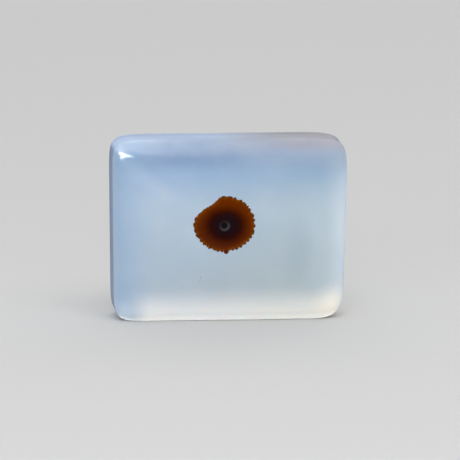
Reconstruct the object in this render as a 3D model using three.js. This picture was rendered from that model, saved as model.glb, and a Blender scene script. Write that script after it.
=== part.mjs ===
// A rectangular cushion cabochon of dendritic agate, cut and polished from one piece of stone.
// It stands on its flat lower edge: X runs along the stone, Y through it towards the flat back,
// and Z is up. The domed face looks along -Y. Sizes are in millimetres.
import * as THREE from "three";

// The outline, seen from the front: half its length and half its height at mid height.
const HALF_LENGTH = 7.95;
const HALF_HEIGHT = 6.26;

// The outline is a little wider at the top than at the foot, and leans to the right.
const TOP_FLARE = 0.117;
const TOP_LEAN = 0.065;

// How square each corner was ground: the exponent of a superellipse, 2 for an ellipse.
const CORNER_SQUARENESS = { topRight: 10.9, topLeft: 12.9, footLeft: 12.6, footRight: 9.6 };

// Through the thickness: the dome of the face, the straight girdle and the rounded back edge.
const DOME_HEIGHT = 2.25;
const GIRDLE_DEPTH = 3.05;
const BACK_EDGE_RADIUS = 0.5;

// The dome rolls over near the girdle and is gently arched all across.
const SHOULDER_POWER = 4.0;
const ARCH = 0.12;

// The lower edge is ground flat by this much, which gives the stone its foot.
const FOOT_GRIND = 0.13;

// How finely the faceted solid follows the curves.
const STEPS_AROUND = 104;
const DOME_RINGS = 20;
const BACK_EDGE_RINGS = 4;
const CORNER_CROWDING = 0.45; // under 1 crowds the steps into the four corners
const RIM_CROWDING = 1.9; // over 1 crowds the dome's rings towards the girdle

// Milky blue-white stone with a high polish.
const STONE_COLOUR = new THREE.Color(0.64, 0.72, 0.79);
const POLISH_ROUGHNESS = 0.08;

// The exponent of the outline in a direction, which passes through the four corners' values.
function squareness(angle) {
  const { topRight, topLeft, footLeft, footRight } = CORNER_SQUARENESS;
  const mean = (topRight + topLeft + footLeft + footRight) / 4;
  const rightward = (topRight - topLeft - footLeft + footRight) / (4 * Math.SQRT1_2);
  const upward = (topRight + topLeft - footLeft - footRight) / (4 * Math.SQRT1_2);
  const crosswise = (topRight - topLeft + footLeft - footRight) / 4;
  return (
    mean +
    rightward * Math.cos(angle) +
    upward * Math.sin(angle) +
    crosswise * Math.sin(2 * angle)
  );
}

// Directions round the outline, closer together where the corners turn.
function directions() {
  return Array.from({ length: STEPS_AROUND }, (_, i) => {
    const turn = (2 * Math.PI * i) / STEPS_AROUND;
    const across = Math.sign(Math.cos(turn)) * Math.abs(Math.cos(turn)) ** CORNER_CROWDING;
    const up = Math.sign(Math.sin(turn)) * Math.abs(Math.sin(turn)) ** CORNER_CROWDING;
    return Math.atan2(up, across);
  });
}

// A point of the unit outline in a direction: 1 is the girdle on each axis.
function rimPoint(angle) {
  const n = squareness(angle);
  const reach = (Math.abs(Math.cos(angle)) ** n + Math.abs(Math.sin(angle)) ** n) ** (-1 / n);
  return new THREE.Vector2(reach * Math.cos(angle), reach * Math.sin(angle));
}

// Carries a point of the unit outline to its place in the stone, at a depth. The foot is flat.
function place(unit, depth) {
  const x = TOP_LEAN * unit.y + (HALF_LENGTH + TOP_FLARE * unit.y) * unit.x;
  const z = HALF_HEIGHT * (1 + unit.y) - FOOT_GRIND;
  return new THREE.Vector3(x, depth, Math.max(z, 0));
}

// How far the dome stands in front of the girdle at a share of the way out to the rim.
function domeRise(share, unit) {
  const shoulder = Math.sqrt(Math.max(0, 1 - share ** SHOULDER_POWER));
  return DOME_HEIGHT * shoulder * (1 - (ARCH * unit.lengthSq()) / 2);
}

// The rings of the stone from the face's middle, over the dome and the girdle, to the back.
function rings() {
  const rim = directions().map(rimPoint);
  const made = [];
  for (let i = 1; i <= DOME_RINGS; i++) {
    const share = 1 - (1 - i / DOME_RINGS) ** RIM_CROWDING;
    made.push(
      rim.map((point) => {
        const unit = point.clone().multiplyScalar(share);
        return place(unit, -domeRise(share, unit));
      }),
    );
  }
  for (let i = 0; i <= BACK_EDGE_RINGS; i++) {
    const turn = (Math.PI / 2) * (i / BACK_EDGE_RINGS);
    const inset = BACK_EDGE_RADIUS * (1 - Math.cos(turn));
    const depth = GIRDLE_DEPTH + BACK_EDGE_RADIUS * Math.sin(turn);
    made.push(
      rim.map((point) => {
        const unit = new THREE.Vector2(
          point.x * (1 - inset / HALF_LENGTH),
          point.y * (1 - inset / HALF_HEIGHT),
        );
        return place(unit, depth);
      }),
    );
  }
  return made;
}

// Joins the rings into one closed surface whose faces point outwards.
function stoneGeometry() {
  const stack = rings();
  const middle = new THREE.Vector2(0, 0);
  const positions = [];
  const face = (a, b, c) => positions.push(...a.toArray(), ...b.toArray(), ...c.toArray());
  const crown = place(middle, -DOME_HEIGHT);
  const backMiddle = place(middle, GIRDLE_DEPTH + BACK_EDGE_RADIUS);
  const first = stack[0];
  const last = stack[stack.length - 1];
  for (let i = 0; i < STEPS_AROUND; i++) {
    const next = (i + 1) % STEPS_AROUND;
    face(crown, first[i], first[next]);
    for (let r = 0; r + 1 < stack.length; r++) {
      const inner = stack[r];
      const outer = stack[r + 1];
      face(inner[i], outer[i], outer[next]);
      face(inner[i], outer[next], inner[next]);
    }
    face(backMiddle, last[next], last[i]);
  }
  const geometry = new THREE.BufferGeometry();
  geometry.setAttribute("position", new THREE.Float32BufferAttribute(positions, 3));
  geometry.computeVertexNormals();
  return geometry;
}

// The origin is on the surface that the stone stands on, under the middle of its box.
function standOnOrigin(geometry) {
  geometry.computeBoundingBox();
  const { min, max } = geometry.boundingBox;
  return geometry.translate(-(min.x + max.x) / 2, -(min.y + max.y) / 2, -min.z);
}

const stone = new THREE.Mesh(
  standOnOrigin(stoneGeometry()),
  new THREE.MeshStandardMaterial({
    color: STONE_COLOUR,
    roughness: POLISH_ROUGHNESS,
    metalness: 0,
  }),
);
stone.name = "agate_cabochon";

const specimen = new THREE.Group();
specimen.add(stone);

export default specimen;
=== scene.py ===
import math

import bpy
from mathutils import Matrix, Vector


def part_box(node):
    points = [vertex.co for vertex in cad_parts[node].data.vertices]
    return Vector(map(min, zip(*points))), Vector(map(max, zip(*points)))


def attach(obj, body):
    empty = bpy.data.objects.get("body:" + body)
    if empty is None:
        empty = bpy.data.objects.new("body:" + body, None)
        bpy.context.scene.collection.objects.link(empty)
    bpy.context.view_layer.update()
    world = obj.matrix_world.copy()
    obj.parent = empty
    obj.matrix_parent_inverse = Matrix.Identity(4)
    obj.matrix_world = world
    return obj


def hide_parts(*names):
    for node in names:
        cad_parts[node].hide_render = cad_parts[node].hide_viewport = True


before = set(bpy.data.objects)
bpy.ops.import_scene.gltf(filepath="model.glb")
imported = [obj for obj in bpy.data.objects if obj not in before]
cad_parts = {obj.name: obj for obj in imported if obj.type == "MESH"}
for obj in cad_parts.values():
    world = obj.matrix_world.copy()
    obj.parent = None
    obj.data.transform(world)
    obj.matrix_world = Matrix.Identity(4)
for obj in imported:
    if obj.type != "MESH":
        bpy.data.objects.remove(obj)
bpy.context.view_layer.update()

# The camera looks at the domed face from a little to the left and above, through a long lens,
# so that the outline shows hardly any perspective.
PICTURE_SIDE = 460  # pixels
PIXELS_PER_METRE = 14645  # at the middle of the stone
SENSOR_WIDTH = 36.0  # millimetres
CAMERA_AZIMUTH, CAMERA_ELEVATION = -5, 8  # degrees
CAMERA_DISTANCE = 0.500
CAMERA_AIM = Vector((0.000078, 0.0, 0.006007))
NEAREST_SEEN, FURTHEST_SEEN = 0.01, 10


def direction(azimuth, elevation):
    """The unit vector towards an azimuth, from the front, and an elevation, both in degrees."""
    azimuth, elevation = math.radians(azimuth), math.radians(elevation)
    return Vector((
        math.sin(azimuth) * math.cos(elevation),
        -math.cos(azimuth) * math.cos(elevation),
        math.sin(elevation),
    ))


towards_camera = direction(CAMERA_AZIMUTH, CAMERA_ELEVATION)
lens = bpy.data.cameras.new("camera")
lens.sensor_width = SENSOR_WIDTH
lens.lens = SENSOR_WIDTH * CAMERA_DISTANCE * PIXELS_PER_METRE / PICTURE_SIDE
lens.clip_start, lens.clip_end = NEAREST_SEEN, FURTHEST_SEEN
camera = bpy.data.objects.new("camera", lens)
camera.location = CAMERA_AIM + towards_camera * CAMERA_DISTANCE
camera.rotation_euler = towards_camera.to_track_quat("Z", "Y").to_euler()
bpy.context.scene.collection.objects.link(camera)
bpy.context.scene.camera = camera


# The stone is one piece of milky chalcedony, cut as a rectangular cushion cabochon: a domed face,
# a straight girdle, a flat back with a rounded edge, and a lower edge ground flat to stand on.
# It was sawn, ground to the outline, domed and polished. All its sizes are in millimetres.
STONE_SIZES = {
    "Half Length": 7.95,
    "Half Height": 6.26,
    "Top Flare": 0.117,
    "Top Lean": 0.065,
    "Squareness Top Right": 10.9,
    "Squareness Top Left": 12.9,
    "Squareness Foot Left": 12.6,
    "Squareness Foot Right": 9.6,
    "Dome Height": 2.25,
    "Girdle Depth": 3.05,
    "Back Edge Radius": 0.5,
    "Shoulder Power": 4.0,
    "Arch": 0.12,
    "Foot Grind": 0.13,
}
STEPS_ALONG, STEPS_THROUGH, STEPS_UP = 190, 44, 150
GIRDLE_SHARE = 0.55  # of the steps through the stone, the rest follow the back edge
BLOCK_FRONT = -0.9999  # the block reaches from -1 to 1, and its front becomes the domed face
QUARTER_TURN = math.pi / 2
DIAGONAL = math.sqrt(0.5)  # the sine and the cosine of the corners' bearing
LEAST_RADIUS = 1e-6  # on the block, so that nothing divides by zero at its middle
METRES = 0.001


class Wire:
    """One output of a node. Sums on it, with numbers or other wires, add Math nodes to its tree."""

    def __init__(self, tree, socket=None):
        self.tree = tree
        self.socket = socket

    def node(self, kind, settings=None, sockets=None):
        """Adds a node, with its settings first and then its inputs, and gives its first output."""
        made = self.tree.nodes.new(kind)
        for name, value in (settings or {}).items():
            setattr(made, name, value)
        for name, value in (sockets or {}).items():
            if isinstance(value, Wire):
                self.tree.links.new(value.socket, made.inputs[name])
            else:
                made.inputs[name].default_value = value
        return Wire(self.tree, made.outputs[0] if made.outputs else None)

    def output(self, name):
        return Wire(self.tree, self.socket.node.outputs[name])

    def math(self, operation, *others):
        return self.node("ShaderNodeMath", {"operation": operation}, dict(enumerate((self, *others))))

    def __add__(self, other):
        return self.math("ADD", other)

    __radd__ = __add__

    def __mul__(self, other):
        return self.math("MULTIPLY", other)

    __rmul__ = __mul__

    def __sub__(self, other):
        return self.math("SUBTRACT", other)

    def __rsub__(self, other):
        return (self * -1).math("ADD", other)

    def __truediv__(self, other):
        return self.math("DIVIDE", other)

    def __rtruediv__(self, other):
        return self.math("POWER", -1.0) * other

    def __pow__(self, other):
        return self.math("POWER", other)

    def parts(self):
        """The X, Y and Z of a vector."""
        split = self.node("ShaderNodeSeparateXYZ", None, {0: self})
        return split, split.output("Y"), split.output("Z")

    def noise(self, scale, detail, roughness=0.5):
        """A noise that varies softly round 0.5 from place to place."""
        return self.node("ShaderNodeTexNoise", None, {
            "Vector": self, "Scale": scale, "Detail": detail, "Roughness": roughness,
        })

    def smooth(self, low, high):
        """Rises softly from 0 at low to 1 at high, or falls where low is the larger."""
        ends = {"Value": self, "From Min": low, "From Max": high}
        return self.node("ShaderNodeMapRange", {"interpolation_type": "SMOOTHSTEP"}, ends)

    def blend(self, first, second, kind="MIX"):
        """The first colour where this is 0, and the second, or with MULTIPLY their product, at 1."""
        settings = {"data_type": "RGBA", "blend_type": kind}
        mixed = self.node("ShaderNodeMix", settings, {0: self, 6: first, 7: second})
        return Wire(self.tree, mixed.socket.node.outputs[2])


def distance(x, z):
    return (x * x + z * z).math("SQRT")


def cabochon_tree():
    """A block whose faces are bent into the face, the girdle and the back of the stone."""
    tree = bpy.data.node_groups.new("cushion_cabochon", "GeometryNodeTree")
    ports = tree.interface
    ports.new_socket("Stone", in_out="OUTPUT", socket_type="NodeSocketGeometry")
    for name, value in STONE_SIZES.items():
        ports.new_socket(name, in_out="INPUT", socket_type="NodeSocketFloat").default_value = value
    ports.new_socket("Material", in_out="INPUT", socket_type="NodeSocketMaterial")
    start = Wire(tree)
    given = start.node("NodeGroupInput")
    size = {name: given.output(name) for name in STONE_SIZES}

    block = start.node("GeometryNodeMeshCube", None, {
        "Size": (2, 2, 2),
        "Vertices X": STEPS_ALONG,
        "Vertices Y": STEPS_THROUGH,
        "Vertices Z": STEPS_UP,
    })
    along, through, upward = start.node("GeometryNodeInputPosition").parts()
    # Steps crowd towards the rim, where the dome rolls over and the corners turn.
    u = (along * QUARTER_TURN).math("SINE")
    v = (upward * QUARTER_TURN).math("SINE")
    share = u.math("ABSOLUTE").math("MAXIMUM", v.math("ABSOLUTE"))
    radius = distance(u, v).math("MAXIMUM", LEAST_RADIUS)
    cosine, sine = u / radius, v / radius

    # Each corner has a squareness of its own, and it changes smoothly from one to the next.
    corners = ("Top Right", "Top Left", "Foot Left", "Foot Right")
    top_right, top_left, foot_left, foot_right = (size[f"Squareness {corner}"] for corner in corners)
    squareness = (
        (top_right + top_left + foot_left + foot_right) / 4
        + (top_right - top_left - foot_left + foot_right) * cosine / (4 * DIAGONAL)
        + (top_right + top_left - foot_left - foot_right) * sine / (4 * DIAGONAL)
        + (top_right - top_left + foot_left - foot_right) * sine * cosine / 2
    )
    powers = cosine.math("ABSOLUTE") ** squareness + sine.math("ABSOLUTE") ** squareness
    reach = share * powers ** (-1 / squareness)
    unit_x, unit_z = reach * cosine, reach * sine

    on_face = through.math("LESS_THAN", BLOCK_FRONT)
    shoulder = (1 - share ** size["Shoulder Power"]).math("MAXIMUM", 0.0).math("SQRT")
    arched = 1 - size["Arch"] * (unit_x * unit_x + unit_z * unit_z) / 2
    rise = size["Dome Height"] * shoulder * arched * on_face

    depth = (through + 1) / 2
    turn = ((depth - GIRDLE_SHARE) / (1 - GIRDLE_SHARE)).math("MAXIMUM", 0.0) * QUARTER_TURN
    edge = size["Back Edge Radius"]
    inset = edge * (1 - turn.math("COSINE"))
    girdle = size["Girdle Depth"] * (depth / GIRDLE_SHARE).math("MINIMUM", 1.0)
    back = girdle + edge * turn.math("SINE")
    unit_x = unit_x * (1 - inset / size["Half Length"])
    unit_z = unit_z * (1 - inset / size["Half Height"])

    x = size["Top Lean"] * unit_z + (size["Half Length"] + size["Top Flare"] * unit_z) * unit_x
    z = (size["Half Height"] * (1 + unit_z) - size["Foot Grind"]).math("MAXIMUM", 0.0)
    bent = start.node("ShaderNodeCombineXYZ", None, {
        "X": x * METRES, "Y": (back - rise) * METRES, "Z": z * METRES,
    })
    stone = start.node("GeometryNodeSetPosition", None, {"Geometry": block, "Position": bent})
    stone = start.node("GeometryNodeSetShadeSmooth", None, {"Geometry": stone})
    stone = start.node("GeometryNodeRealizeInstances", None, {"Geometry": stone})
    stone = start.node("GeometryNodeSetMaterial", None, {
        "Geometry": stone, "Material": given.output("Material"),
    })
    start.node("NodeGroupOutput", None, {"Stone": stone})
    return tree


def colour(red, green, blue):
    """A shader's colour from screen values between 0 and 255."""
    shares = [value / 255 for value in (red, green, blue)]
    linear = [s / 12.92 if s <= 0.04045 else ((s + 0.055) / 1.055) ** 2.4 for s in shares]
    return (*linear, 1.0)


# The tones of the milky stone, with painted glow, warm light, shade and sheen among them. Each has
# the stretch over which it comes in, along X where it is a spread, up or down Z where it is a
# rise or a drop, and along Y where it is a depth.
LOWER_COLOUR = colour(172, 185, 196)  # a touch of aqua grey below the middle
BODY_COLOUR, BODY_RISE = colour(174, 192, 209), (1.0, 9.5)  # milky blue-white
UPPER_COLOUR, UPPER_RISE = colour(142, 168, 199), (7.5, 11.3)  # deeper blue under the top shoulder
SHOULDER_COLOUR, SHOULDER_RISE = colour(122, 146, 177), (10.0, 11.6)  # and deepest along the top
SHOULDER_GREY_COLOUR, SHOULDER_GREY_SPREAD = colour(152, 168, 194), (-5.0, 8.0)  # less blue
WASH_COLOUR = colour(153, 156, 174)  # a lavender grey at the top right
WASH_SPREAD, WASH_RISE = (-3.0, 7.0), (11.4, 12.1)
EDGE_COLOUR, EDGE_SPREAD = colour(151, 177, 205), (-4.7, -9.0)  # the thin left edge
# Painted glow: light that has crossed the stone is painted in at the right, and at the foot below.
PAINTED_GLOW_COLOUR = colour(225, 237, 252)  # light that has crossed the stone, at the right
GLOW_SPREAD, GLOW_DROP = (6.0, 8.8), (13.4, 6.0)
# Painted glow of the light that leaves the stone at its foot.
PAINTED_FOOT_GLOW_COLOUR = colour(252, 252, 252)  # and at the foot
FOOT_SPREAD, FOOT_DROP = (-7.3, -5.4), (2.65, -0.3)
# Painted warm light: light that has crossed the stone makes it warmer towards the right.
PAINTED_WARM_LIGHT_TINT, WARM_SPREAD = (1.0, 0.975, 0.905, 1.0), (-6.0, 7.0)  # all grows warmer to the right
# Painted shade: the top and the left of the girdle darken towards the back.
RIM_PAINTED_SHADE = (0.72, 0.72, 0.74, 1.0)  # the top and the left of the girdle deepen towards the back
RIM_RISE, RIM_SPREAD = (11.4, 12.2), (-7.3, -8.0)
RIM_DEPTH, RIM_END_DEPTH = (-0.6, 2.4), (2.9, 2.5)
# Painted glow of light that leaves the stone at its lower corners.
PAINTED_CORNER_GLOWS = (  # x, z, the distances where it starts and is full, strength, colour
    (7.1, 0.9, (2.1, -0.8), 1.0, colour(255, 246, 230)),
    (-7.4, 0.4, (1.6, -0.4), 0.5, PAINTED_GLOW_COLOUR),
)
HAZE_AND_SHEEN_COLOUR, HAZE_STRENGTH = colour(236, 240, 244), 0.07
HAZE_SCALE, HAZE_DETAIL, HAZE_ROUGHNESS = 0.3, 4.0, 0.45
HAZE_THRESHOLD = (0.40, 0.72)
# Painted sheen along the dome's diagonal ridge, from the upper left corner.
SHEEN_START, SHEEN_SLOPE, SHEEN_STRENGTH = (-7.3, 10.9), (0.806, -0.592), 0.09
SHEEN_SIDE, SHEEN_HEAD, SHEEN_TAIL = (0.9, 0.0), (0.0, 1.5), (5.5, 3.0)
FACE_DEPTH = (0.0, -1.0)  # what follows shows on the domed face alone
FLECK_COLOUR = colour(120, 134, 146)
SHADE_PLACE, SHADE_SIZE, SHADE_STRENGTH = (4.65, 4.6), (1.6, 3.4), 0.17
FLECK_EDGE = (1.6, 0.3)
FLECKS = (  # x, z, half width, half height, strength
    (-2.16, 3.16, 0.04, 0.13, 0.42),
    (-2.25, 2.88, 0.04, 0.11, 0.24),
    (-3.47, 2.47, 0.07, 0.07, 0.16),
)


def milky(place, across, through, up):
    """The colour of the chalcedony, without the dendrite, with painted glow, warm light, shade and
    sheen.
    """
    body = up.smooth(*BODY_RISE).blend(LOWER_COLOUR, BODY_COLOUR)
    body = up.smooth(*UPPER_RISE).blend(body, UPPER_COLOUR)
    shoulder = across.smooth(*SHOULDER_GREY_SPREAD).blend(SHOULDER_COLOUR, SHOULDER_GREY_COLOUR)
    body = up.smooth(*SHOULDER_RISE).blend(body, shoulder)
    body = (up.smooth(*WASH_RISE) * across.smooth(*WASH_SPREAD)).blend(body, WASH_COLOUR)
    body = across.smooth(*EDGE_SPREAD).blend(body, EDGE_COLOUR)
    # Painted glow of light that has crossed the stone, at the right and then at the foot.
    body = (across.smooth(*GLOW_SPREAD) * up.smooth(*GLOW_DROP)).blend(body, PAINTED_GLOW_COLOUR)
    body = (up.smooth(*FOOT_DROP) * across.smooth(*FOOT_SPREAD)).blend(body, PAINTED_FOOT_GLOW_COLOUR)
    # Painted warm light, growing towards the right.
    body = across.smooth(*WARM_SPREAD).blend(body, PAINTED_WARM_LIGHT_TINT, "MULTIPLY")
    # Painted shade darkens the top and the left of the girdle towards the back.
    on_rim = up.smooth(*RIM_RISE).math("MAXIMUM", across.smooth(*RIM_SPREAD))
    backward = through.smooth(*RIM_DEPTH) * through.smooth(*RIM_END_DEPTH)
    body = (on_rim * backward).blend(body, RIM_PAINTED_SHADE, "MULTIPLY")
    # Painted glow at the lower corners.
    for corner_x, corner_z, ends, strength, tone in PAINTED_CORNER_GLOWS:
        corner = distance(across - corner_x, up - corner_z).smooth(*ends) * strength
        body = corner.blend(body, tone)
    haze = place.noise(HAZE_SCALE, HAZE_DETAIL, HAZE_ROUGHNESS).smooth(*HAZE_THRESHOLD)
    body = (haze * HAZE_STRENGTH).blend(body, HAZE_AND_SHEEN_COLOUR)
    # A faint painted sheen runs paler from the upper left corner towards the dendrite, along the dome's
    # diagonal ridge.
    sheen_x, sheen_z = across - SHEEN_START[0], up - SHEEN_START[1]
    along_sheen = SHEEN_SLOPE[0] * sheen_x + SHEEN_SLOPE[1] * sheen_z
    beside_sheen = (SHEEN_SLOPE[1] * sheen_x - SHEEN_SLOPE[0] * sheen_z).math("ABSOLUTE")
    painted_sheen = beside_sheen.smooth(*SHEEN_SIDE) * along_sheen.smooth(*SHEEN_HEAD) * along_sheen.smooth(*SHEEN_TAIL)
    body = (painted_sheen * SHEEN_STRENGTH).blend(body, HAZE_AND_SHEEN_COLOUR)
    # A faint darker cloud hangs in its right half, and three tiny flecks lie at the lower left.
    on_face = through.smooth(*FACE_DEPTH)
    shade_x, shade_z = (across - SHADE_PLACE[0]) / SHADE_SIZE[0], (up - SHADE_PLACE[1]) / SHADE_SIZE[1]
    shade = distance(shade_x, shade_z).smooth(1.0, 0.0) * on_face
    body = (shade * SHADE_STRENGTH).blend(body, FLECK_COLOUR)
    for fleck_x, fleck_z, half_width, half_height, strength in FLECKS:
        far_x, far_z = (across - fleck_x) / half_width, (up - fleck_z) / half_height
        fleck = (far_x * far_x + far_z * far_z).smooth(*FLECK_EDGE) * on_face * strength
        body = fleck.blend(body, FLECK_COLOUR)
    return body


# The dendrite is a disc of iron and manganese oxide that grew from one point inside the agate. It
# is a stain, with finger ends round its margin, and a healed crack cuts it off at the upper
# left. The grey ring round its nucleus is painted fullest on its lower right, as painted light on
# its rim. Its places are measured from the nucleus.
NUCLEUS = (-0.55, 6.72)
LEAST_DISTANCE = 1e-4  # from the nucleus, so that nothing divides by zero there
DISC_RADIUS, DISC_SHIFT, DISC_STRETCH = 2.02, (-0.01, 0.12), 0.10
MARGIN_SEED, MARGIN_WOBBLE = 1.7, 0.16
WOBBLE_SCALE, WOBBLE_DETAIL = 2.6, 2.0
LOBES = 18  # pairs of rounded finger ends round the margin
LOBE_WANDER, LOBE_DEPTH, LOBE_MIDDLE = 8, 0.11, 0.75
UNEVEN_SCALE, UNEVEN_DETAIL, UNEVEN_ENDS = 5.0, 1.0, (0.15, 0.50)
CHORD_SLOPE, CHORD_REACH = (-0.617, 0.787), 1.735  # the healed crack
CHORD_DIP, CHORD_DIP_PLACE, CHORD_DIP_REACH = 0.085, 0.3, 0.9  # it bends inwards above its middle
CHORD_WOBBLE, CHORD_LOBE_DEPTH = 0.08, 0.03
CORNER_ROUNDING, CORNER_SPREAD = 0.6, (-0.5, -1.6)  # where it meets the margin at the left
PEAK, PEAK_RADIUS = (-0.03, 1.90), 0.115
KNOB, KNOB_RADIUS, KNOB_EDGE = (0.115, -1.78), 0.175, (-0.02, 0.06)
FIBRE_SCALE, FIBRE_DETAIL = 14.0, 3.0
RUSSET_COLOUR, ORANGE_COLOUR = colour(88, 34, 10), colour(100, 39, 0)
ORANGE_LEAN, ORANGE_RISE = 0.4, (-1.7, 1.2)
AMBER_COLOUR, AMBER_BAND = colour(122, 66, 6), (0.36, 0.05)
AMBER_LEAST, AMBER_FIBRES = 0.2, (0.36, 0.64)
TIP_COLOUR, TIP_STRENGTH = colour(66, 48, 6), 0.8
TIP_BAND, TIP_FINGERS = (0.16, 0.05), (0.55, 0.95)
CORE_SHIFT, CORE_FLATNESS, CORE_FRAYING = 0.08, 1.18, 0.22  # it lies a little right and is flatter
MAROON_COLOUR, MAROON_REACH = colour(46, 12, 5), (1.85, 0.95)
CORE_COLOUR, CORE_REACH = colour(29, 15, 20), (1.24, 0.52)
RING_COLOUR, RING_INNER_EDGE, RING_OUTER_EDGE = colour(66, 63, 66), (0.17, 0.27), (0.43, 0.31)
RING_LIT_SIDE, RING_LIT_ENDS, RING_LEAST = (0.55, -0.83), (-0.32, 0.3), 0.15
PIT_COLOUR, PIT_REACH = colour(13, 18, 22), (0.22, 0.10)
STAIN_EDGE, STAIN_DEPTH = (-0.03, 0.035), (-0.4, -1.2)
SHADOW_REACH, SHADOW_DEPTH, SHADOW_STRENGTH = (2.5, 1.2), (1.0, 2.6), 0.32  # on the back


def dendrite_margin(dx, dz, radius):
    """How far a point lies inside the whole margin and its round part, and the fingers there."""
    cosine, sine = dx / radius, dz / radius
    bearing = dx.node("ShaderNodeCombineXYZ", None, {"X": cosine, "Y": sine, "Z": MARGIN_SEED})
    wobble = bearing.noise(WOBBLE_SCALE, WOBBLE_DETAIL)
    uneven = bearing.noise(UNEVEN_SCALE, UNEVEN_DETAIL).smooth(*UNEVEN_ENDS)
    fingers = (dz.math("ARCTAN2", dx) * LOBES + wobble * LOBE_WANDER).math("COSINE").math("ABSOLUTE")
    outer = (
        DISC_RADIUS
        + DISC_SHIFT[0] * cosine + DISC_SHIFT[1] * sine
        + DISC_STRETCH * (cosine * cosine - sine * sine)
        + LOBE_DEPTH * (fingers - LOBE_MIDDLE) * uneven
        + MARGIN_WOBBLE * (wobble - 0.5)
    )
    rim = outer - radius
    along_chord = CHORD_SLOPE[1] * dx - CHORD_SLOPE[0] * dz
    dip = CHORD_DIP * (along_chord - CHORD_DIP_PLACE).math("ABSOLUTE").smooth(CHORD_DIP_REACH, 0.0)
    chord = CHORD_REACH - dip - (CHORD_SLOPE[0] * dx + CHORD_SLOPE[1] * dz)
    chord = chord + CHORD_WOBBLE * (wobble - 0.5) + CHORD_LOBE_DEPTH * fingers
    inside = rim.math("SMOOTH_MIN", chord, CORNER_ROUNDING * dx.smooth(*CORNER_SPREAD))
    peak = PEAK_RADIUS - distance(dx - PEAK[0], dz - PEAK[1])
    return inside.math("MAXIMUM", peak), rim, fingers, bearing


def stained(body, across, through, up):
    """The body's colour with the dendrite in it, sharp on the face and a soft shadow on the back."""
    dx, dz = across - NUCLEUS[0], up - NUCLEUS[1]
    radius = distance(dx, dz).math("MAXIMUM", LEAST_DISTANCE)
    inside, rim, fingers, bearing = dendrite_margin(dx, dz, radius)
    knob = KNOB_RADIUS - distance(dx - KNOB[0], dz - KNOB[1])
    fibres = bearing.noise(FIBRE_SCALE, FIBRE_DETAIL)
    stain = (dz + ORANGE_LEAN * dx).smooth(*ORANGE_RISE).blend(RUSSET_COLOUR, ORANGE_COLOUR)
    fibrous = AMBER_LEAST + (1 - AMBER_LEAST) * fibres.smooth(*AMBER_FIBRES)
    stain = (inside.smooth(*AMBER_BAND) * fibrous).blend(stain, AMBER_COLOUR)
    tips = rim.smooth(*TIP_BAND) * fingers.smooth(*TIP_FINGERS)
    stain = (tips * TIP_STRENGTH).blend(stain, TIP_COLOUR)
    stain = knob.smooth(*KNOB_EDGE).blend(stain, RUSSET_COLOUR)
    reach = distance(dx - CORE_SHIFT, dz * CORE_FLATNESS) + CORE_FRAYING * (fibres - 0.5)
    stain = reach.smooth(*MAROON_REACH).blend(stain, MAROON_COLOUR)
    stain = reach.smooth(*CORE_REACH).blend(stain, CORE_COLOUR)
    # Painted light: the grey ring is fullest on its lit lower right and faint elsewhere.
    lit = (RING_LIT_SIDE[0] * dx + RING_LIT_SIDE[1] * dz).smooth(*RING_LIT_ENDS)
    ring = radius.smooth(*RING_INNER_EDGE) * radius.smooth(*RING_OUTER_EDGE)
    stain = (ring * (lit * (1 - RING_LEAST) + RING_LEAST)).blend(stain, RING_COLOUR)
    stain = radius.smooth(*PIT_REACH).blend(stain, PIT_COLOUR)
    shown = inside.math("MAXIMUM", knob).smooth(*STAIN_EDGE) * through.smooth(*STAIN_DEPTH)
    body = shown.blend(body, stain)
    shadow = radius.smooth(*SHADOW_REACH) * through.smooth(*SHADOW_DEPTH)
    return (shadow * SHADOW_STRENGTH).blend(body, RUSSET_COLOUR)


# The face and the girdle have a high polish. The back is only ground, and its satin grain shows.
STONE_IOR = 1.54
SUBSURFACE_SCALE, SUBSURFACE_RADIUS = 0.0009, (1.0, 0.8, 0.62)
POLISHED_ROUGHNESS, GROUND_ROUGHNESS, GRAIN_ROUGHNESS = 0.06, 0.42, 0.03
GROUND_DEPTH = (2.45, 2.75)
GRAIN_SCALE, GRAIN_DETAIL = 9.0, 3.0
RELIEF_STRENGTH, RELIEF_HEIGHT = 0.35, 0.00002


def agate_material():
    """Milky chalcedony with a high polish, a ground back, and the brown dendrite in it."""
    material = bpy.data.materials.new("milky_agate")
    material.use_nodes = True
    material.node_tree.nodes.clear()
    start = Wire(material.node_tree)
    place = start.node("ShaderNodeTexCoord").output("Object")
    place = start.node("ShaderNodeVectorMath", {"operation": "SCALE"}, {0: place, "Scale": 1 / METRES})
    across, through, up = place.parts()
    body = stained(milky(place, across, through, up), across, through, up)

    grain = place.noise(GRAIN_SCALE, GRAIN_DETAIL)
    ground = through.smooth(*GROUND_DEPTH)
    roughness = POLISHED_ROUGHNESS + (GROUND_ROUGHNESS - POLISHED_ROUGHNESS) * ground
    roughness = roughness + GRAIN_ROUGHNESS * (grain - 0.5)
    relief = start.node("ShaderNodeBump", None, {
        "Strength": RELIEF_STRENGTH, "Distance": RELIEF_HEIGHT, "Height": grain * ground,
    })
    stone = start.node("ShaderNodeBsdfPrincipled", {"subsurface_method": "RANDOM_WALK"}, {
        "Base Color": body,
        "Roughness": roughness,
        "IOR": STONE_IOR,
        "Normal": relief,
        "Subsurface Weight": 1.0,
        "Subsurface Radius": SUBSURFACE_RADIUS,
        "Subsurface Scale": SUBSURFACE_SCALE,
    })
    start.node("ShaderNodeOutputMaterial", None, {"Surface": stone})
    return material


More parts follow.
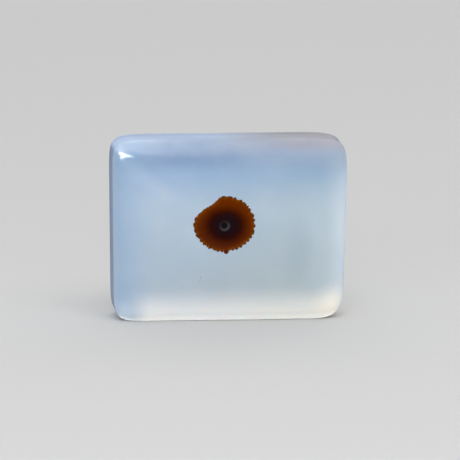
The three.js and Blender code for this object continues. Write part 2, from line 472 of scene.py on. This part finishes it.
def build_stone():
    """The stone as a plain mesh with its material, seated in the box of the solid it stands for."""
    holder = bpy.data.objects.new("polished_agate", bpy.data.meshes.new("polished_agate"))
    bpy.context.scene.collection.objects.link(holder)
    modifier = holder.modifiers.new("cut", "NODES")
    modifier.node_group = cabochon_tree()
    values = {**STONE_SIZES, "Material": agate_material()}
    for socket in modifier.node_group.interface.items_tree:
        if socket.in_out == "INPUT":
            modifier[socket.identifier] = values[socket.name]
    evaluated = holder.evaluated_get(bpy.context.evaluated_depsgraph_get())
    mesh = bpy.data.meshes.new_from_object(evaluated)
    holder.modifiers.clear()
    holder.data = mesh
    mesh.name = "polished_agate"
    # The faceted solid and this finer surface share one box, so the stone is seated in it.
    low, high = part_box("agate_cabochon")
    own_low = Vector([min(vertex.co[axis] for vertex in mesh.vertices) for axis in range(3)])
    own_high = Vector([max(vertex.co[axis] for vertex in mesh.vertices) for axis in range(3)])
    for vertex in mesh.vertices:
        for axis in range(3):
            share = (vertex.co[axis] - own_low[axis]) / (own_high[axis] - own_low[axis])
            vertex.co[axis] = low[axis] + share * (high[axis] - low[axis])
    mesh.update()
    return holder


stone = build_stone()
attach(stone, "root")
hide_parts("agate_cabochon")


# The floor is plain and pale, and wide enough to fill the picture. It takes the stone's soft shadow
# but doesn't show in its polish.
FLOOR_SIDE = 4.0
FLOOR_COLOUR = (0.56, 0.56, 0.56, 1.0)
FLOOR_ROUGHNESS = 0.7

half = FLOOR_SIDE / 2
floor_corners = [(-half, -half, 0), (half, -half, 0), (half, half, 0), (-half, half, 0)]
floor_mesh = bpy.data.meshes.new("floor")
floor_mesh.from_pydata(floor_corners, [], [(0, 1, 2, 3)])
floor = bpy.data.objects.new("floor", floor_mesh)
bpy.context.scene.collection.objects.link(floor)
floor_material = bpy.data.materials.new("floor")
floor_material.use_nodes = True
floor_shader = floor_material.node_tree.nodes["Principled BSDF"]
floor_shader.inputs["Base Color"].default_value = FLOOR_COLOUR
floor_shader.inputs["Roughness"].default_value = FLOOR_ROUGHNESS
floor_shader.inputs["Specular IOR Level"].default_value = 0.0
floor_mesh.materials.append(floor_material)
floor.visible_glossy = False


# Soft fills light the stone from the front, from high up and from behind. They don't show in its
# polish, and the lights that follow show only there.
FILLS = (  # name, azimuth, elevation, distance, width, height, radiance
    ("front_fill", -12, 9, 0.45, 0.40, 0.20, 5.2),
    ("high_fill", 8, 50, 0.60, 0.50, 0.40, 3.0),
    ("back_fill", 172, 25, 0.70, 0.70, 0.45, 1.4),
)


def area_light(name, azimuth, elevation, away, width, height, radiance, tint=(1, 1, 1), mirrored=True):
    """A flat light that faces the stone, and is seen in its polish or lights its body."""
    data = bpy.data.lights.new(name, "AREA")
    data.shape = "RECTANGLE"
    data.size, data.size_y = width, height
    data.energy = radiance * math.pi * width * height
    data.color = tint
    light = bpy.data.objects.new(name, data)
    out = direction(azimuth, elevation)
    light.location = out * away
    light.rotation_euler = out.to_track_quat("Z", "Y").to_euler()
    light.visible_camera = False
    light.visible_glossy = mirrored
    light.visible_diffuse = not mirrored
    bpy.context.scene.collection.objects.link(light)
    return light


for fill in FILLS:
    area_light(*fill, mirrored=False)


# A window at the upper left shows in the polish as a small bright wedge, with a soft glow round it.
# Both are flat lights that a formula of the place on them dims, in metres from their middle.
WINDOW = ("window", -68, 22, 0.40, 0.50, 0.40, 16.0)  # measures in the order of the fills' table
WINDOW_GLOW = ("window_glow", -111, 31, 0.40, 1.40, 1.10, 2.2)
WEDGE_BEND = (-0.001, 0.435, 0.825)  # its middle line, as a constant, a slope and a curvature
WEDGE_HALF_WIDTH, WEDGE_TAPER = 0.079, 0.335
HEAD_HALF_WIDTH, TAIL_HALF_WIDTH = 0.077, 0.032
WEDGE_START, WEDGE_END, WEDGE_SOFTNESS = -0.136, 0.230, 0.012
NOTCH_TIP, NOTCH_WIDENING, NOTCH_DROP = -0.055, 0.60, 0.024  # it sits below the middle line
HALO_START, HALO_END, HALO_SOFTNESS = -0.28, 0.66, 0.05
HALO_LOWER_EDGE, HALO_UPPER_EDGE, HALO_WIDENING = -0.13, 0.17, 0.35
HALO_NEAR_X, HALO_NEAR_Y = (-0.02, 0.12), (-0.12, -0.02)  # where it is twice as bright
HALO_TAIL, TAIL_DIMMING = (0.24, 0.36), 0.5
TAIL_LOWER_SHIFT, TAIL_UPPER_SHIFT = 0.22, 0.12


def shape_light(light, brightness):
    light.data.use_nodes = True
    light.data.node_tree.nodes.clear()
    start = Wire(light.data.node_tree)
    x, y = start.node("ShaderNodeTexCoord").output("Object").parts()[:2]
    emission = start.node("ShaderNodeEmission", None, {"Strength": brightness(x, y)})
    start.node("ShaderNodeOutputLight", None, {"Surface": emission})


def wedge(x, y):
    """A bent wedge with a notch in its broad end and a thin tail."""
    above = y - (WEDGE_BEND[0] + WEDGE_BEND[1] * x + WEDGE_BEND[2] * x * x)
    half_width = (WEDGE_HALF_WIDTH - WEDGE_TAPER * x).math("MAXIMUM", TAIL_HALF_WIDTH)
    half_width = half_width.math("MINIMUM", HEAD_HALF_WIDTH)
    beside_notch = (above + NOTCH_DROP).math("ABSOLUTE") + NOTCH_WIDENING * (x - NOTCH_TIP)
    inside = (half_width - above.math("ABSOLUTE")).math("MINIMUM", beside_notch)
    inside = inside.math("MINIMUM", x - WEDGE_START).math("MINIMUM", WEDGE_END - x)
    return inside.smooth(0.0, WEDGE_SOFTNESS)


def halo(x, y):
    """A soft patch that grows wider and brighter towards the window, and ends in a dimmer tail."""
    tail = x.smooth(*HALO_TAIL)
    upper_edge = HALO_UPPER_EDGE + HALO_WIDENING * x.math("MAXIMUM", 0.0) + TAIL_UPPER_SHIFT * tail
    lower_edge = HALO_LOWER_EDGE + TAIL_LOWER_SHIFT * tail
    inside = (x - HALO_START).math("MINIMUM", HALO_END - x)
    inside = inside.math("MINIMUM", upper_edge - y).math("MINIMUM", y - lower_edge)
    near = x.smooth(*HALO_NEAR_X) * y.smooth(*HALO_NEAR_Y)
    return inside.smooth(0.0, HALO_SOFTNESS) * (1 + near) * (1 - TAIL_DIMMING * tail)


shape_light(area_light(*WINDOW), wedge)
shape_light(area_light(*WINDOW_GLOW), halo)


# A soft panel lies close above the stone and a card stands behind it. They show in the polish of
# its upper left edge.
PANEL_LOW, PANEL_HIGH = (-0.060, -0.056), (0.011, 0.150)  # its corners, along X and Y
PANEL_RISE, PANEL_LIGHT = 0.072, 2.3
PANEL_RIGHT_FADE, PANEL_FRONT_FADE = (0.011, -0.004), (-0.056, -0.024)
FAR_LEFT_X, FAR_LEFT_Y, FAR_LEFT_DIMMING = (0.012, -0.025), (0.005, 0.060), 0.7
CARD_DISTANCE, CARD_WIDTH, CARD_HEIGHT, CARD_RISE = 0.10, 0.12, 0.06, 0.036
CARD_LIGHT, CARD_TINT, CARD_FADE = 0.5, (0.4, 0.6, 1.0), (-0.0135, -0.006)

panel_width, panel_depth = (high - low for low, high in zip(PANEL_LOW, PANEL_HIGH))
panel_middle = [(low + high) / 2 for low, high in zip(PANEL_LOW, PANEL_HIGH)]


def panel_brightness(x, y):
    """Fades towards the right and the front, and partly at the far left."""
    x, y = x + panel_middle[0], y + panel_middle[1]
    far_left = x.smooth(*FAR_LEFT_X) * y.smooth(*FAR_LEFT_Y)
    return x.smooth(*PANEL_RIGHT_FADE) * y.smooth(*PANEL_FRONT_FADE) * (1 - FAR_LEFT_DIMMING * far_left)


panel = area_light("top_panel", 0, 90, PANEL_RISE, panel_width, panel_depth, PANEL_LIGHT)
panel.rotation_euler = (0, 0, 0)
panel.location = (*panel_middle, PANEL_RISE)
shape_light(panel, panel_brightness)
card = area_light("back_card", 180, 0, CARD_DISTANCE, CARD_WIDTH, CARD_HEIGHT, CARD_LIGHT, CARD_TINT)
card.location.z = CARD_RISE
shape_light(card, lambda x, y: x.smooth(*CARD_FADE))


# The room is a pale studio with a wide soft ceiling light. It is dark in front of the stone, so
# that its face shows no reflection, and paler reflectors and a pale floor show low down. Each part
# of it is a range of the direction of sight, whose parts run from -1 to 1.
ROOM_LIGHT = (0.48, 0.48, 0.48, 1.0)
DARK_LIGHT, DARK_FRONT = (0.005, 0.005, 0.006, 1.0), (-0.45, -0.85)
SIDE_LIGHT, SIDE_DEPTH = (0.23, 0.27, 0.36, 1.0), (-0.5, 0.1)
HORIZON, REFLECTOR_TOP = (0.06, -0.06), (0.10, -0.06)
RIGHT_REFLECTOR_LIGHT, RIGHT_REFLECTOR_SPREAD = (0.64, 0.84, 1.18, 1.0), (0.10, 0.60)
LEFT_REFLECTOR_LIGHT, LEFT_REFLECTOR_SPREAD = (0.85, 0.90, 0.95, 1.0), (-0.30, -0.65)
LEFT_REFLECTOR_DEPTH = (0.0, 0.35)
FRONT_FLOOR_LIGHT, BACK_FLOOR_LIGHT = (0.8, 0.8, 0.77, 1.0), (2.8, 2.8, 2.7, 1.0)
FLOOR_DROP, BACK_FLOOR_DEPTH, BACK_FLOOR_SPREAD = (-0.3, -0.6), (-0.1, 0.5), (0.6, 0.3)
CEILING_LIGHT = (0.9, 0.9, 0.9, 1.0)
CEILING_LEAN = (0.242, 0.970)  # the direction of the ceiling light's middle, along Y and Z
CEILING_REACH, CEILING_SOFTNESS = 0.669, 0.10

world = bpy.data.worlds.new("room")
world.use_nodes = True
world.node_tree.nodes.clear()
room = Wire(world.node_tree)
sight_x, sight_y, sight_z = room.node("ShaderNodeTexCoord").output("Generated").parts()
light = sight_y.smooth(*DARK_FRONT).blend(ROOM_LIGHT, DARK_LIGHT)
lower = sight_y.smooth(*SIDE_DEPTH).blend(DARK_LIGHT, SIDE_LIGHT)
light = sight_z.smooth(*HORIZON).blend(light, lower)
low = sight_z.smooth(*REFLECTOR_TOP)
at_right = sight_x.smooth(*RIGHT_REFLECTOR_SPREAD) * low
light = at_right.blend(light, RIGHT_REFLECTOR_LIGHT)
at_left = sight_x.smooth(*LEFT_REFLECTOR_SPREAD) * sight_y.smooth(*LEFT_REFLECTOR_DEPTH) * low
light = at_left.blend(light, LEFT_REFLECTOR_LIGHT)
behind = sight_y.smooth(*BACK_FLOOR_DEPTH) * sight_x.math("ABSOLUTE").smooth(*BACK_FLOOR_SPREAD)
mirrored_floor = behind.blend(FRONT_FLOOR_LIGHT, BACK_FLOOR_LIGHT)
light = sight_z.smooth(*FLOOR_DROP).blend(light, mirrored_floor)
ceiling = (CEILING_LEAN[0] * sight_y + CEILING_LEAN[1] * sight_z).smooth(
    CEILING_REACH - CEILING_SOFTNESS, CEILING_REACH + CEILING_SOFTNESS
)
light = ceiling.blend(light, CEILING_LIGHT)
background = room.node("ShaderNodeBackground", None, {"Color": light, "Strength": 1.0})
room.node("ShaderNodeOutputWorld", None, {"Surface": background})
bpy.context.scene.world = world
bpy.context.scene.view_settings.view_transform = "Standard"
